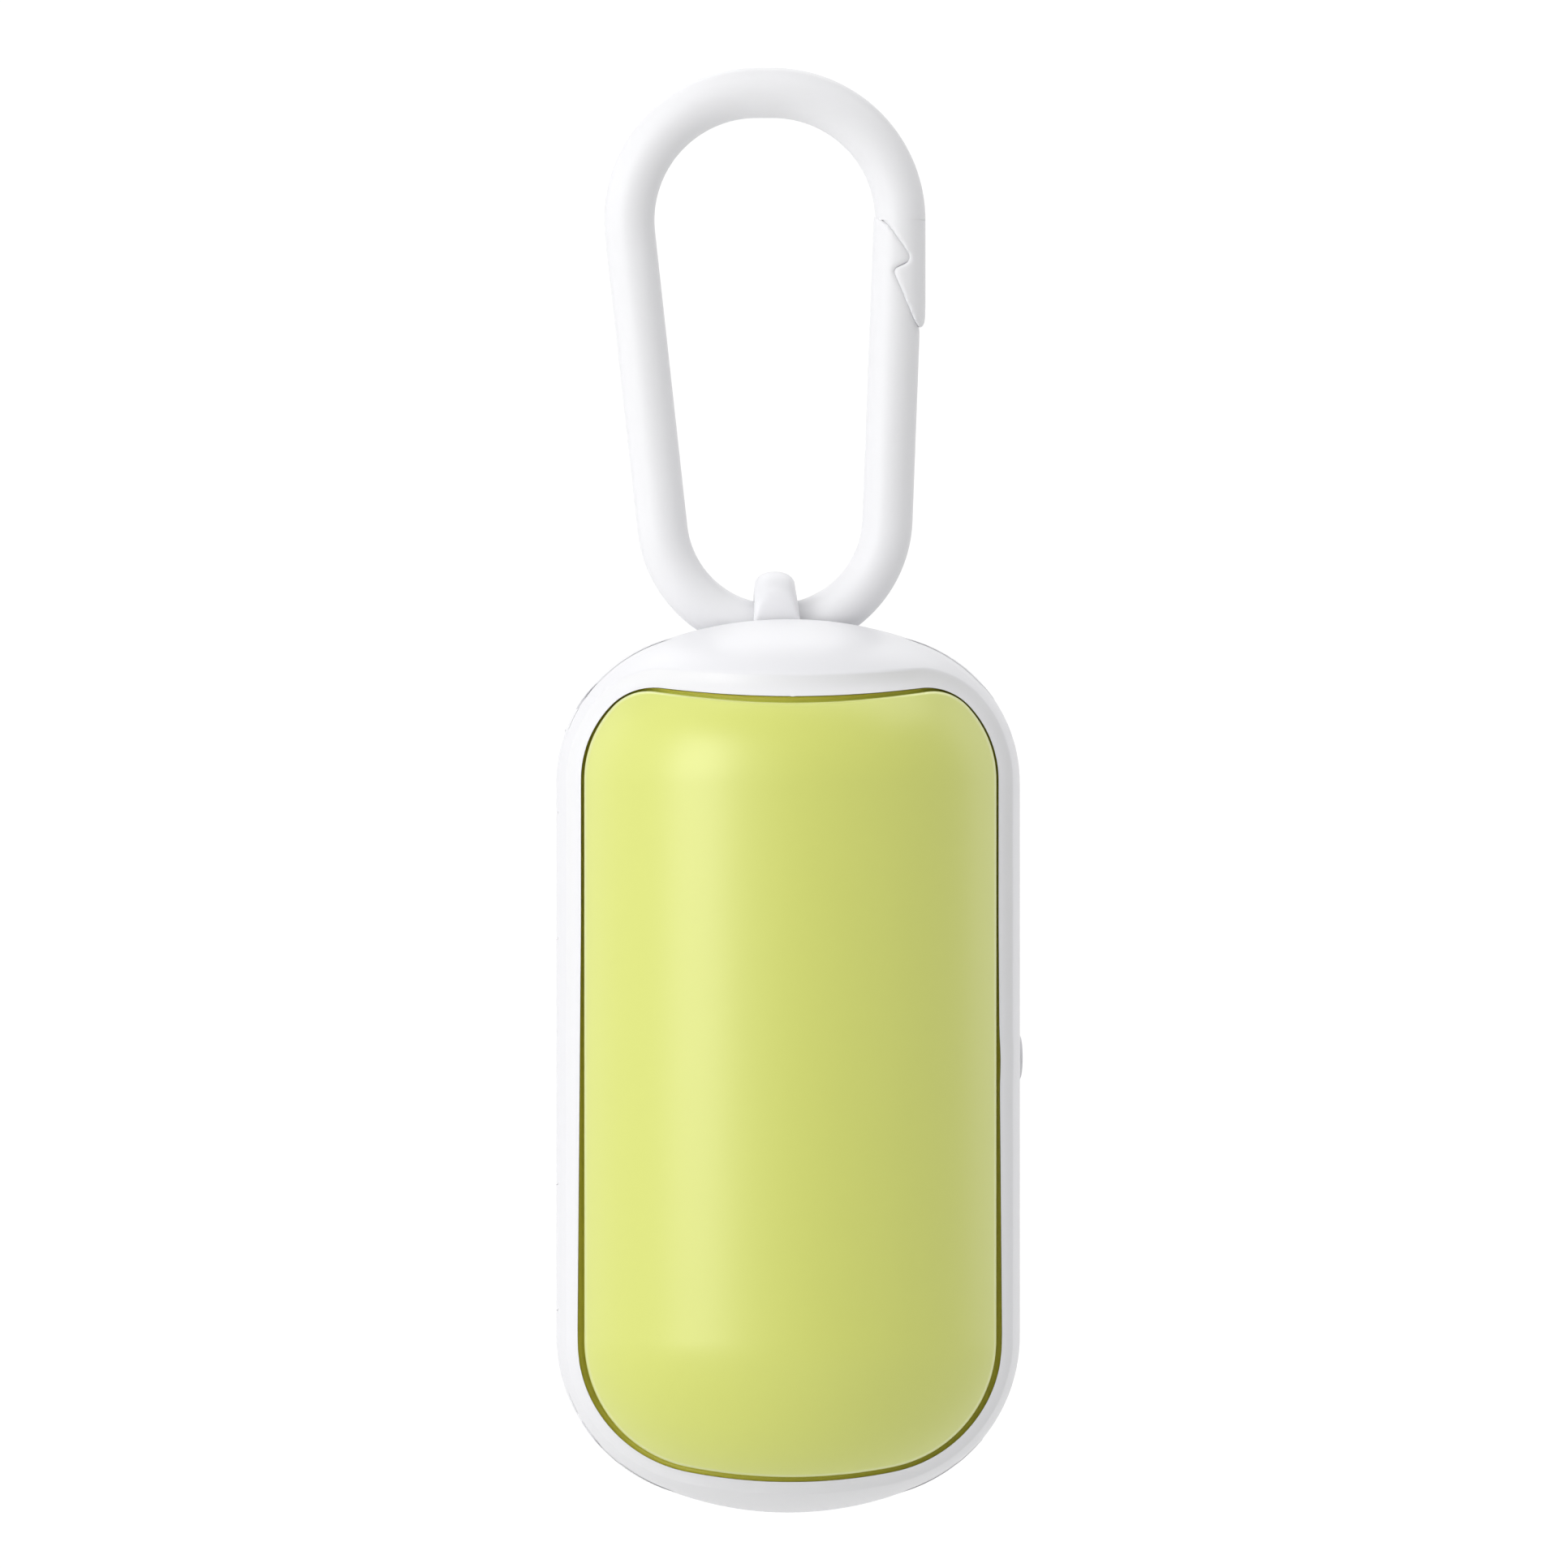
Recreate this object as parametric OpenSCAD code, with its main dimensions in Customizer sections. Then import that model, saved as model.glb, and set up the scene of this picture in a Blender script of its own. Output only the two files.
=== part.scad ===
// Capsule-shaped dispenser for rolls of dog waste bags, hung from a carabiner.
// A white clamshell housing: the front half is a lid with an inset glossy cover,
// hinged on a vertical pin at the left and held by a push-button latch at the right.
// The roll of bags turns on a clip-in spindle. The bags leave through a soft mouth
// in the back. The carabiner hangs in an eye behind the crest of the housing.
//
// All shapes are drawn with the capsule's axis on Z, its lowest point at zero, its
// front towards -Y. in_frame() then moves them to the part's own frame, whose
// origin is the inner top of the carabiner, where the strap or ring bears.

/* [Capsule] */
// Outside diameter of the capsule
body_d = 45; // [43:0.5:48]
// Overall height of the capsule, without the eye
body_h = 86.7; // [84:0.1:95]
// Radius of the domed crown on top
top_crown_r = 37; // [34:0.5:42]
// Height of the rounded top end
top_end_h = 15.9; // [15:0.1:17]
// Radius of the domed crown underneath
base_crown_r = 32.3; // [30:0.1:36]
// Height of the rounded bottom end
base_end_h = 17.2; // [16:0.1:18]
// Thickness of the moulded walls
wall = 2; // [1.8:0.1:2.3]
// Gap between the two halves when the lid is shut
split_gap = 0.2; // [0.1:0.05:0.4]
// Length of the back shell's tongue that laps into the lid
tongue_l = 1.4; // [1:0.1:1.5]
// Thickness of that tongue
tongue_t = 0.8; // [0.6:0.05:0.9]
// Thickness of the ledge and the crest wall behind the top
ledge_t = 2; // [1.6:0.1:2.4]

/* [Cover] */
// Distance from the capsule's side to the cover's side, seen from the front
cover_side_w = 2.4; // [2:0.1:3]
// Height of the cover's lowest point above the capsule's lowest point
cover_base_z = 4; // [3.2:0.1:5]
// Radius of the cover's bottom edge
cover_base_crown_r = 56; // [50:0.1:62]
// Height of the cover's rounded bottom end
cover_base_end_h = 13; // [12:0.1:14]
// Radius of the side curve at the top corners
cover_corner_r = 10.2; // [9:0.1:11]
// Radius of the tight curve where a top corner turns into the top edge
cover_tip_r = 4.9; // [4:0.1:6]
// Radius of the top edge, which dips in the middle
cover_dip_r = 96; // [85:1:110]
// Distance from the capsule's top down to the middle of the cover's top edge
cover_dip_depth = 8; // [7:0.1:9]
// Height from the top corners' side curve up to the middle of the top edge
cover_corner_h = 7.6; // [7.4:0.1:8.2]
// Thickness of the cover
cover_t = 1.5; // [1.2:0.1:1.8]
// Gap round the cover
cover_gap = 0.4; // [0.3:0.05:0.6]
// Depth of the lip at the foot of the cover's edge, below the cover's face
lip_drop = 0.7; // [0.5:0.05:0.9]
// Depth of the bezel and the cover below the capsule's surface
bezel_sink = 0.2; // [0.1:0.05:0.3]
// Width of the bezel round the cover
bezel_w = 2.2; // [1.5:0.1:2.6]
// Thickness of the flange that carries the cover
seat_t = 1.2; // [1:0.1:1.5]
// Width of the flange under the cover's edge
seat_w = 2.4; // [2:0.1:3]
// Height of each of the cover's snap hooks
hook_h = 5; // [4:0.5:7]

/* [Hinge] */
// Radius of the hinge knuckles
knuckle_r = 2.8; // [2.6:0.05:3]
// Radius of the steel hinge pin
pin_r = 0.8; // [0.6:0.05:1]
// Distance of the hinge axis inside the capsule's side
hinge_inset = 1.65; // [1.5:0.05:1.9]
// Length of each of the lid's two knuckles
lid_knuckle_l = 12; // [9:0.5:14]
// Distance from the middle of the hinge to the middle of each lid knuckle
lid_knuckle_at = 18; // [16:0.5:20]
// Gap between neighbouring knuckles
knuckle_gap = 0.2; // [0.15:0.05:0.4]
// Gap round a knuckle, to the other half
knuckle_clear = 0.15; // [0.1:0.05:0.3]

/* [Latch] */
// How far the latch button sits above the capsule's middle
button_up = 0.75; // [-4:0.05:6]
// Height of the button's face
button_h = 4.4; // [4:0.1:5]
// Length of the button's face, front to back
button_l = 6.8; // [6:0.1:7.4]
// Distance of the button's front end behind the split
button_edge = 1.9; // [1.6:0.1:2.4]
// How far the button stands out of the capsule
button_proud = 0.45; // [0.3:0.05:0.8]
// Travel of the button
button_travel = 1; // [0.8:0.05:1.1]
// Gap round the button
button_gap = 0.15; // [0.1:0.05:0.25]
// Outside diameter of the button's return spring
spring_d = 2.6; // [2.2:0.1:2.8]
// Wire diameter of the return spring
spring_wire = 0.3; // [0.25:0.05:0.35]
// Number of coils of the return spring
spring_turns = 6; // [5:0.5:7]
// Radius of the latch screws' shanks
screw_r = 0.8; // [0.7:0.05:0.9]
// Radius of the latch screws' heads
screw_head_r = 1.5; // [1.3:0.05:1.7]

/* [Bags] */
// Distance from the capsule's side to a full roll, which leaves room for the latch
roll_inset = 8; // [7.9:0.1:9.5]
// What the roll's length leaves of the capsule's height
roll_ends = 24.7; // [24:0.1:30]
// Outside diameter of the roll's cardboard core
core_d = 16; // [14:0.5:18]
// Wall of the cardboard core
core_t = 1; // [0.8:0.1:1.2]
// Radius of the spindle's journals
journal_r = 2; // [1.8:0.1:2.4]
// How far the bag mouth's middle sits above the capsule's middle
mouth_up = 0.15; // [-5:0.05:5]
// Width of the mouth that the bags leave through
mouth_w = 6; // [5.5:0.1:7]
// Height of the mouth
mouth_h = 22; // [18:0.5:26]
// Width of the soft lip round the mouth
lip_w = 2.2; // [1.8:0.1:2.6]

/* [Carabiner] */
// Diameter of the carabiner's wire
wire_d = 4.9; // [4.5:0.1:5.2]
// Radius of the lower bend, at the wire's centre
bend_r = 11; // [10.5:0.1:12]
// Radius of the two upper bends, at the wire's centre
top_bend_r = 12.4; // [11.8:0.1:13]
// Height from the lower bend's centre to the upper bends' centres
loop_h = 28.8; // [27:0.1:32]
// How far the left upper bend stands left of the lower bend
left_shift = 1.75; // [1:0.05:2.5]
// How far the right upper bend stands left of the lower bend
right_shift = 0.15; // [0:0.05:0.6]
// Depth of the wire's centre behind the capsule's axis
wire_y = 5; // [4.8:0.1:6]
// Depth of the wire's lowest centre point below the crest
wire_sink = 0.9; // [0.6:0.1:1.2]
// Gap between the gate and the nose
gate_gap = 0.2; // [0.15:0.05:0.3]

/* [Eye] */
// Thickness of the eye, across the capsule
eye_t = 4.1; // [3.6:0.1:4.6]
// Height of the eye's top above the crest
eye_rise = 4.7; // [4.4:0.1:5.4]
// How far the eye stands left of the capsule's axis
eye_shift = 1.2; // [0:0.1:1.6]
// Gap between the eye's bore and the wire, all round
eye_clear = 0.45; // [0.35:0.05:0.6]

/* [Hidden] */
$fn = 96;
far = 200;
// Running clearance of pins and journals
fit = 0.05;
// Arcs and legs are spliced this far inside each other's surface
splice_in = 0.02;
splice_l = 0.4;
shoulder_proud = 0.1;
side_proud = 0.01;
// Points along each arc of the cover's outline
arc_steps = 6;

// Capsule
body_r = body_d / 2;
cover_half_w = body_r - cover_side_w;
button_z = body_h / 2 + button_up;
mouth_z = body_h / 2 + mouth_up;
roll_d = body_d - 2 * roll_inset;
roll_l = body_h - roll_ends;
side_z0 = base_end_h;
side_z1 = body_h - top_end_h;

// Radius of the shoulder arc that joins a crown of radius c and height h to a side at r
function shoulder_r(r, c, h) = (c * c - (c - h) * (c - h) - r * r) / (2 * (c - r));

// Distance below a shoulder's start at which the side has drawn in by d
function draw_in_h(s, d) = sqrt(s * s - (s - d) * (s - d));

function ray(a) = [sin(a), cos(a)];

// Quarter outline of a domed end above y = 0: side at r, crown radius c, height h.
// g grows it, and the arcs keep their centres. The shoulder's circle stands a little
// proud of the crown and the side, so that the outlines cross and fuse.
module end_quarter(r, c, h, g) {
    s = shoulder_r(r, c, h) + shoulder_proud;
    crown_c = [0, h - c];
    shoulder_c = [r - s + side_proud, 0];
    intersection() {
        translate(crown_c) circle(c + g, $fn = 360);
        polygon([crown_c, crown_c + [0, far], crown_c + far * (shoulder_c - crown_c)]);
    }
    intersection() {
        translate(shoulder_c) circle(s + g, $fn = 180);
        translate([0, -far]) square([far, 2 * far]);
    }
}

// The solid capsule, grown by g
module capsule(g) {
    rotate_extrude() {
        translate([0, side_z0]) square([body_r + g, side_z1 - side_z0]);
        translate([0, side_z1]) end_quarter(body_r, top_crown_r, top_end_h, g);
        translate([0, side_z0]) mirror([0, 1])
            end_quarter(body_r, base_crown_r, base_end_h, g);
    }
}

module skin(outer, inner) {
    difference() {
        capsule(outer);
        capsule(inner);
    }
}

// A box given by its lowest and highest corners
module block(low, high) {
    translate(low) cube(high - low);
}

module in_front(y) {
    block([-far, -far, -far], [far, y, far]);
}

module behind(y) {
    block([-far, y, -far], [far, far, far]);
}

// Stadium-shaped outline, w wide and h high
module stadium(w, h) {
    square([w, h - w], center = true);
    for (side = [-1, 1]) translate([0, side * (h - w) / 2]) circle(d = w);
}

// Cover outline, seen from the front: points of one arc
function arc(c, r, a0, a1) =
    [for (i = [0:arc_steps]) c + r * [cos(a0 + (a1 - a0) * i / arc_steps),
                                      sin(a0 + (a1 - a0) * i / arc_steps)]];

cover_shoulder_r = shoulder_r(cover_half_w, cover_base_crown_r, cover_base_end_h);
cover_base_c = [0, cover_base_z + cover_base_crown_r];
cover_shoulder_c = [cover_half_w - cover_shoulder_r, cover_base_z + cover_base_end_h];
cover_base_a = atan2(cover_shoulder_c[0], cover_base_crown_r - cover_base_end_h);
cover_dip_z = body_h - cover_dip_depth;
cover_corner_c = [cover_half_w - cover_corner_r, cover_dip_z - cover_corner_h];
cover_dip_c = [0, cover_dip_z + cover_dip_r];
// The tip's arc touches the corner's arc from inside and the dip's arc from outside
tip_from_corner = cover_corner_r - cover_tip_r;
tip_from_dip = cover_dip_r + cover_tip_r;
corner_to_dip = cover_dip_c - cover_corner_c;
corner_dip_l = norm(corner_to_dip);
tip_along = (tip_from_corner * tip_from_corner - tip_from_dip * tip_from_dip
             + corner_dip_l * corner_dip_l) / (2 * corner_dip_l);
tip_across = sqrt(tip_from_corner * tip_from_corner - tip_along * tip_along);
tip_dir = corner_to_dip / corner_dip_l;
cover_tip_c = cover_corner_c + tip_along * tip_dir + tip_across * [tip_dir[1], -tip_dir[0]];
tip_a0 = atan2(cover_tip_c[1] - cover_corner_c[1], cover_tip_c[0] - cover_corner_c[0]);
tip_a1 = atan2(cover_dip_c[1] - cover_tip_c[1], cover_dip_c[0] - cover_tip_c[0]);

// Right half of the cover's outline, drawn in by i
function cover_right(i) = concat(
    arc(cover_base_c, cover_base_crown_r - i, -90, cover_base_a - 90),
    arc(cover_shoulder_c, cover_shoulder_r - i, cover_base_a - 90, 0),
    arc(cover_corner_c, cover_corner_r - i, 0, tip_a0),
    arc(cover_tip_c, cover_tip_r - i, tip_a0, tip_a1),
    arc(cover_dip_c, cover_dip_r + i, tip_a1 - 180, -90));

// Everything in front of the axis that the cover's outline, drawn in by i, surrounds
module cover_prism(i) {
    half = cover_right(i);
    left = [for (k = [len(half) - 2:-1:1]) [-half[k][0], half[k][1]]];
    rotate([90, 0, 0]) linear_extrude(far) polygon(concat(half, left));
}

// Housing: levels and places shared by its pieces
seat_top = bezel_sink + cover_t + fit;
seat_base = seat_top + seat_t;
seat_root = 1.5;
lip_y = -knuckle_r - 2 * cover_gap;
// Seen from the front, the bezel narrows where the sides turn away
bezel_turn = bezel_w / body_r * 180 / PI;
bezel_half_w = body_r * sin(asin((cover_half_w + cover_gap) / body_r) + bezel_turn);
pad_y = 2.2;
hook_gap = 0.15;
hook_t = 0.9;
hook_bite = 0.6;
hook_zs = [for (k = [-1, 0, 1]) (cover_shoulder_c[1] + cover_corner_c[1]) / 2 + k * 20];
tongue_x0 = -5;
tongue_gap = 0.15;

// Carabiner, in the plane y = wire_y
wire_r = wire_d / 2;
bend_c = [-eye_shift, body_h - wire_sink + bend_r];
left_c = bend_c + [-left_shift, loop_h];
right_c = bend_c + [-right_shift, loop_h];
bight = [(left_c[0] + right_c[0]) / 2, wire_y, left_c[1] + top_bend_r - wire_r];

// Ledge and eye that the carabiner hangs in
ledge_clear = 0.95;
ledge_gap = 0.6;
ledge_y = wire_y - wire_r - ledge_gap;
ledge_z = body_h - wire_sink - wire_r - ledge_clear;
eye_bore_r = wire_r + eye_clear;
eye_z = body_h - wire_sink - 0.1;
eye_r = body_h + eye_rise - eye_z;
eye_round = 1.8;
eye_front = 0.4;

// Hinge, on a vertical axis at [hinge_x, 0]
hinge_x = hinge_inset - body_r;
base_shoulder_r = shoulder_r(body_r, base_crown_r, base_end_h);
top_shoulder_r = shoulder_r(body_r, top_crown_r, top_end_h);
hinge_z0 = side_z0 - draw_in_h(base_shoulder_r, hinge_inset);
hinge_z1 = side_z1 + draw_in_h(top_shoulder_r, hinge_inset);
hinge_mid = (hinge_z0 + hinge_z1) / 2;
lid_spans = [for (side = [-1, 1])
    [hinge_mid + side * lid_knuckle_at - lid_knuckle_l / 2,
     hinge_mid + side * lid_knuckle_at + lid_knuckle_l / 2]];
shell_spans = [[hinge_z0, lid_spans[0][0] - knuckle_gap],
               [lid_spans[0][1] + knuckle_gap, lid_spans[1][0] - knuckle_gap],
               [lid_spans[1][1] + knuckle_gap, hinge_z1]];
zone_over = 0.5;
pin_inset = 3;
pin_z0 = hinge_z0 + pin_inset;
pin_z1 = hinge_z1 - pin_inset / 2;

// Latch: the button's flange stops inside the wall, and a bracket carries its spring
flange_w = 1.3;
flange_t = 0.9;
button_y = split_gap / 2 + button_edge + button_l / 2;
flange_back_y = button_y + button_l / 2 + flange_w;
flange_x1 = sqrt(pow(body_r - wall, 2) - flange_back_y * flange_back_y) - button_gap;
flange_x0 = flange_x1 - flange_t;
bracket_t = 0.65;
bracket_x1 = flange_x0 - button_travel - button_gap;
bracket_x0 = bracket_x1 - bracket_t;
bracket_y = [3.4, 10];
boss_r = 1.9;
boss_y = 6.6;
boss_dz = button_h / 2 + flange_w + boss_r + 2.2;
boss_gap = 0.05;
arm_h = 4;
catch_y = [-3.2, -1.8];
catch_x = body_r - wall - 1.5;
catch_slack = 0.3;
catch_end_gap = 0.2;
barb_l = 1.1;
spring_pocket_r = spring_d / 2 + 0.2;
spring_x0 = bracket_x1 + 0.05;
spring_x1 = body_r - 1.15;
screw_head_t = 0.9;
screw_l = 3.6;

// Bag mouth in the back wall
lip_proud = 0.3;
mouth_outer_w = mouth_w + 2 * lip_w;
mouth_outer_h = mouth_h + 2 * lip_w;
mouth_flange = 1.6;
mouth_flange_t = 1.2;
clamp_t = 0.9;
clamp_w = 3.4;
stake_r = 0.9;
stake_z = mouth_outer_h / 2 + mouth_flange + stake_r + 0.3;
stake_y0 = body_r - wall - mouth_flange_t - clamp_t - 0.7;

// Roll, spindle and the two clips that hold its journals
core_r = core_d / 2;
// The roll sits a little above the middle, on its flange
roll_up = 0.35;
roll_z0 = (body_h - roll_l) / 2 + roll_up;
flange_disc_r = 10;
flange_disc_t = 1.2;
disc_gap = 0.3;
spindle_z0 = roll_z0 - disc_gap - flange_disc_t;
spindle_z1 = roll_z0 + roll_l + disc_gap;
barrel_r = core_r - core_t - 0.3;
axle_r = 2.6;
fin_t = 1.2;
clip_w = 9;
clip_back = 6;
clip_front = 2.4;
clip_h = 4;
clip_mouth = 2 * journal_r - 0.5;
clip_gap = 0.15;
base_clip_z1 = spindle_z0 - disc_gap;
top_clip_z0 = spindle_z1 + 1.6;
top_clip_z1 = ledge_z - ledge_t + 0.3;
journal_z0 = base_clip_z1 - clip_h + 0.3;
journal_z1 = top_clip_z0 + 3;

// Each half is cut back over the other half's knuckles
lid_cuts = [[shell_spans[0][1], shell_spans[1][0]], [shell_spans[1][1], shell_spans[2][0]]];
shell_cuts = [[hinge_z0 - zone_over - knuckle_gap, lid_spans[0][0]],
              [lid_spans[0][1], lid_spans[1][0]],
              [lid_spans[1][1], hinge_z1 + zone_over + knuckle_gap]];

// Knuckle-shaped zone of the hinge, from z0 to z1
module hinge_zone(r, z0, z1) {
    translate([hinge_x, 0, z0]) cylinder(r = r, h = z1 - z0);
}

// The zones reach a little past their ends; the other half's clearance trims them
module knuckle_zones(spans) {
    for (s = spans) hinge_zone(knuckle_r, s[0] - zone_over, s[1] + zone_over);
}

module knuckle_relief(cuts) {
    for (c = cuts) hinge_zone(knuckle_r + knuckle_clear, c[0], c[1]);
}

module pin_bore() {
    translate([hinge_x, 0, -1]) cylinder(r = pin_r + fit, h = pin_z1 + 1.2);
}

module hinge_pin() {
    translate([hinge_x, 0, pin_z0]) cylinder(r = pin_r, h = pin_z1 - pin_z0);
}

// Back shell: the rear half, with the ledge, the eye and everything that carries the rest
module crest_block() {
    intersection() {
        capsule(-wall / 2);
        block([-far, split_gap / 2, ledge_z - ledge_t], [far, far, far]);
    }
}

// Half of the capsule's wall with its own knuckles, cleared round the other half's.
// Its outside and its inside are each one surface.
module half_wall(own, cuts) {
    difference() {
        intersection() {
            capsule(0);
            union() {
                children();
                knuckle_zones(own);
            }
        }
        difference() {
            capsule(-wall);
            knuckle_zones(own);
        }
        knuckle_relief(cuts);
    }
}

// Tongue that laps into the lid. Its root lies inside the shell's wall.
module tongue() {
    root = 1;
    intersection() {
        difference() {
            capsule(tongue_t - wall);
            capsule(-wall - 0.1);
        }
        block([tongue_x0, -tongue_l, -far], [far, split_gap / 2 + root, far]);
    }
}

module eye() {
    intersection() {
        translate([-eye_shift - eye_t / 2, wire_y, eye_z]) rotate([90, 0, 90])
            linear_extrude(eye_t) difference() {
                circle(eye_r);
                circle(eye_bore_r);
            }
        translate([-eye_shift, far, 0]) rotate([90, 0, 0]) linear_extrude(far - eye_front)
            eye_front_outline();
    }
}

module eye_front_outline() {
    top = body_h + eye_rise;
    translate([-eye_t / 2, 0]) square([eye_t, top - eye_round]);
    translate([eye_round - eye_t / 2, 0]) square([eye_t - 2 * eye_round, top]);
    for (side = [-1, 1]) translate([side * (eye_t / 2 - eye_round), top - eye_round])
        circle(eye_round);
}

// Snap clip for a journal, open to the front
module journal_clip(z0, z1) {
    difference() {
        block([-clip_w / 2, -clip_front, z0], [clip_w / 2, clip_back, z1]);
        translate([0, 0, z0 - 1]) cylinder(r = journal_r + clip_gap, h = far);
        block([-clip_mouth / 2, -far, z0 - 1], [clip_mouth / 2, 0, far]);
    }
}

module base_clip() {
    floor_z = base_clip_z1 - clip_h;
    journal_clip(floor_z, base_clip_z1);
    intersection() {
        capsule(-wall / 2);
        union() {
            block([-clip_w / 2, split_gap, -far], [clip_w / 2, clip_back, floor_z]);
            block([-clip_w / 2, -clip_front, floor_z - 1], [clip_w / 2, clip_back, floor_z]);
        }
    }
}

module top_clip() {
    journal_clip(top_clip_z0, journal_z1 + 0.2);
    block([-clip_w / 2, -clip_front, journal_z1 + 0.2], [clip_w / 2, clip_back, top_clip_z1]);
}

module along_x(x0) {
    translate([x0, 0, 0]) rotate([0, 90, 0]) children();
}

module button_prism(grow, x0, x1) {
    translate([x0, button_y, button_z]) rotate([0, 90, 0]) linear_extrude(x1 - x0)
        stadium(button_h + 2 * grow, button_l + 2 * grow);
}

module bosses() {
    for (side = [-1, 1]) translate([bracket_x1 + boss_gap, boss_y, button_z + side * boss_dz])
        rotate([0, 90, 0]) cylinder(r = boss_r, h = body_r - wall / 2 - 1 - bracket_x1);
}

module screw_bores(r, h) {
    for (side = [-1, 1]) translate([bracket_x0 - 1, boss_y, button_z + side * boss_dz])
        rotate([0, 90, 0]) cylinder(r = r, h = h);
}

module mouth_prism(w, h) {
    translate([0, far, mouth_z]) rotate([90, 0, 0]) linear_extrude(far) stadium(w, h);
}

module stakes() {
    for (side = [-1, 1]) translate([0, body_r - wall / 2, mouth_z + side * stake_z])
        rotate([90, 0, 0]) cylinder(r = stake_r, h = body_r - wall / 2 - stake_y0);
}

module back_shell() {
    difference() {
        union() {
            difference() {
                union() {
                    half_wall(shell_spans, lid_cuts) behind(split_gap / 2);
                    tongue();
                    crest_block();
                }
                block([-far, ledge_y, ledge_z], [far, far, far]);
            }
            eye();
            base_clip();
            top_clip();
            bosses();
            stakes();
        }
        pin_bore();
        button_prism(button_gap, flange_x0, far);
        screw_bores(screw_r + fit, screw_l + 1.6);
        mouth_prism(mouth_outer_w, mouth_outer_h);
    }
}

// Front half: the frame, its bezel and the flange that the cover sits on
module front_frame() {
    difference() {
        union() {
            half_wall(lid_spans, shell_cuts) in_front(-split_gap / 2);
            difference() {
                intersection() {
                    skin(0.3 - wall, -seat_base);
                    in_front(-pad_y);
                    cover_prism(-cover_gap - seat_root);
                }
                knuckle_relief(shell_cuts);
            }
            catch();
        }
        cover_prism(seat_w);
        intersection() {
            skin(1, -seat_top);
            cover_prism(-cover_gap);
        }
        intersection() {
            skin(1, -bezel_sink);
            cover_prism(-cover_gap - bezel_w);
            block([-bezel_half_w, -far, -far], [bezel_half_w, 0, far]);
        }
        intersection() {
            skin(tongue_t + tongue_gap - wall, -wall - 1);
            block([tongue_x0 - 0.3, -tongue_l - tongue_gap, -far], [far, 1, far]);
        }
        pin_bore();
    }
}

// Rib inside the right edge that the button's barb hooks in front of
module catch() {
    intersection() {
        capsule(-wall / 2);
        block([catch_x, catch_y[0], button_z - arm_h / 2 - 0.6],
              [far, catch_y[1], button_z + arm_h / 2 + 0.6]);
    }
}

module cover_hook(z) {
    x1 = cover_half_w - seat_w - hook_gap;
    for (side = [0, 1]) mirror([side, 0, 0]) {
        intersection() {
            skin(0.2 - bezel_sink - cover_t, -seat_base - hook_gap - hook_bite);
            block([x1 - hook_t, -far, z - hook_h / 2], [x1, 0, z + hook_h / 2]);
        }
        intersection() {
            skin(-seat_base - hook_gap, -seat_base - hook_gap - hook_bite);
            block([x1 - hook_t, -far, z - hook_h / 2], [x1 + hook_bite, 0, z + hook_h / 2]);
        }
    }
}

// The cover has a lip low on its edge, which is the floor of the gap round it
module front_cover() {
    difference() {
        union() {
            intersection() {
                capsule(-bezel_sink);
                cover_prism(0);
            }
            intersection() {
                capsule(-bezel_sink - lip_drop);
                cover_prism(fit - cover_gap);
                in_front(lip_y);
            }
        }
        capsule(-bezel_sink - cover_t);
    }
    for (z = hook_zs) cover_hook(z);
}

// Push button, with its flange, its spring pocket and the arm of the latch
module latch_button() {
    difference() {
        union() {
            intersection() {
                capsule(button_proud);
                button_prism(0, flange_x0, far);
            }
            button_prism(flange_w, flange_x0, flange_x1);
            block([flange_x0, catch_y[0] - catch_end_gap - barb_l, button_z - arm_h / 2],
                  [flange_x1, button_y, button_z + arm_h / 2]);
            barb();
        }
        translate([flange_x0 - 1, button_y, button_z]) rotate([0, 90, 0])
            cylinder(r = spring_pocket_r, h = spring_x1 + 0.1 - flange_x0 + 1);
    }
}

module barb() {
    tip_x = catch_x - catch_slack;
    y0 = catch_y[0] - catch_end_gap - barb_l;
    translate([0, 0, button_z - arm_h / 2]) linear_extrude(arm_h)
        polygon([[flange_x0 + 0.1, y0], [flange_x1, y0], [tip_x, y0 + barb_l - 0.3],
                 [tip_x, y0 + barb_l], [flange_x0 + 0.1, y0 + barb_l]]);
}

// Return spring: one wire wound about the button's axis, with flat-lying end coils
spring_rings = 8;
spring_sides = 6;
spring_mean_r = (spring_d - spring_wire) / 2;
spring_rise = spring_x1 - spring_x0 - spring_wire;
spring_steps = floor(spring_turns * spring_rings);
spring_at = [for (k = [0:spring_steps]) let (a = 360 * k / spring_rings)
    [spring_mean_r * cos(a), spring_mean_r * sin(a), spring_rise * k / spring_steps]];
spring_slope = atan(spring_rise / spring_turns / (2 * PI * spring_mean_r));
spring_self_gap = spring_rise / spring_turns * cos(spring_slope) - spring_wire;
echo(spring_self_gap = spring_self_gap);

// Wire swept along points that wind about Z; each ring stands across the wire
module wound_wire(points, mean_r, slope, wire) {
    n = len(points) - 1;
    rings = [for (k = [0:n]) let (p = points[k], a = atan2(p[1], p[0]))
        for (i = [0:spring_sides - 1]) let (t = 360 * i / spring_sides)
            p + wire / 2 * (cos(t) * [cos(a), sin(a), 0]
                + sin(t) * [sin(a) * sin(slope), -cos(a) * sin(slope), cos(slope)])];
    m = spring_sides;
    sides = [for (k = [0:n - 1]) for (i = [0:m - 1]) let (j = (i + 1) % m)
        each [[k * m + i, k * m + j, (k + 1) * m + j],
              [k * m + i, (k + 1) * m + j, (k + 1) * m + i]]];
    ends = [for (i = [1:m - 2]) each [[0, i + 1, i], [n * m, n * m + i, n * m + i + 1]]];
    polyhedron(rings, concat(sides, ends));
}

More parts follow.
